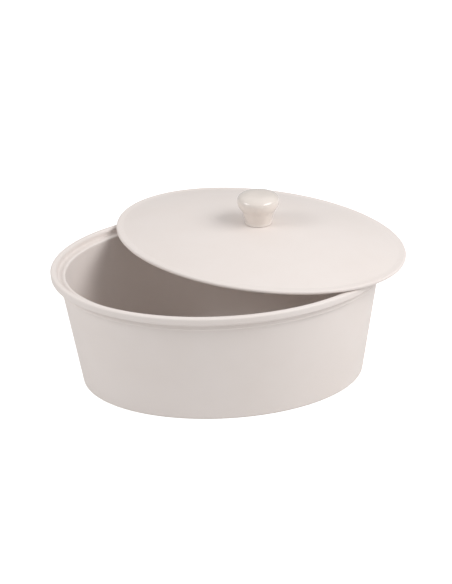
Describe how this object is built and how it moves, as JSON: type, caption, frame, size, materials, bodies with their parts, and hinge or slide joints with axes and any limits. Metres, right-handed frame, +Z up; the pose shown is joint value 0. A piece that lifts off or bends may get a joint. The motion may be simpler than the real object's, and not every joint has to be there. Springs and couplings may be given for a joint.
{
  "type": "covered casserole dish",
  "caption": "Deep oval stoneware oven dish with a flared wall, a lipped rim and a shallow domed lid lying ajar, lifted by a round glazed knob.",
  "frame": {"origin": "middle of the dish's flat underside", "axes": "+X along the dish's long axis, +Y across it away from the front, +Z up out of its mouth"},
  "size_m": [0.3279, 0.2793, 0.1622],
  "materials": {
    "stoneware": "matt warm white, faint mottling",
    "knob_glaze": "clear gloss glaze over warm white body",
    "brass": "turned, unpolished",
    "steel": "stainless, turned and brushed",
    "silicone": "matt off-white silicone"
  },
  "bodies": {
    "dish_body": {"casserole_dish": "stoneware"},
    "lid_body": {"lid": "stoneware", "knob": "knob_glaze", "knob_insert": "brass", "knob_gasket": "silicone", "lid_pad_washer": "silicone", "steel_washer": "steel", "knob_screw": "steel"}
  },
  "joints": [
    {"name": "lid_lift", "type": "slide", "parent": "dish_body", "child": "lid_body", "axis": [0, 0, 1], "range_m": [0, 0.15]}
  ]
}
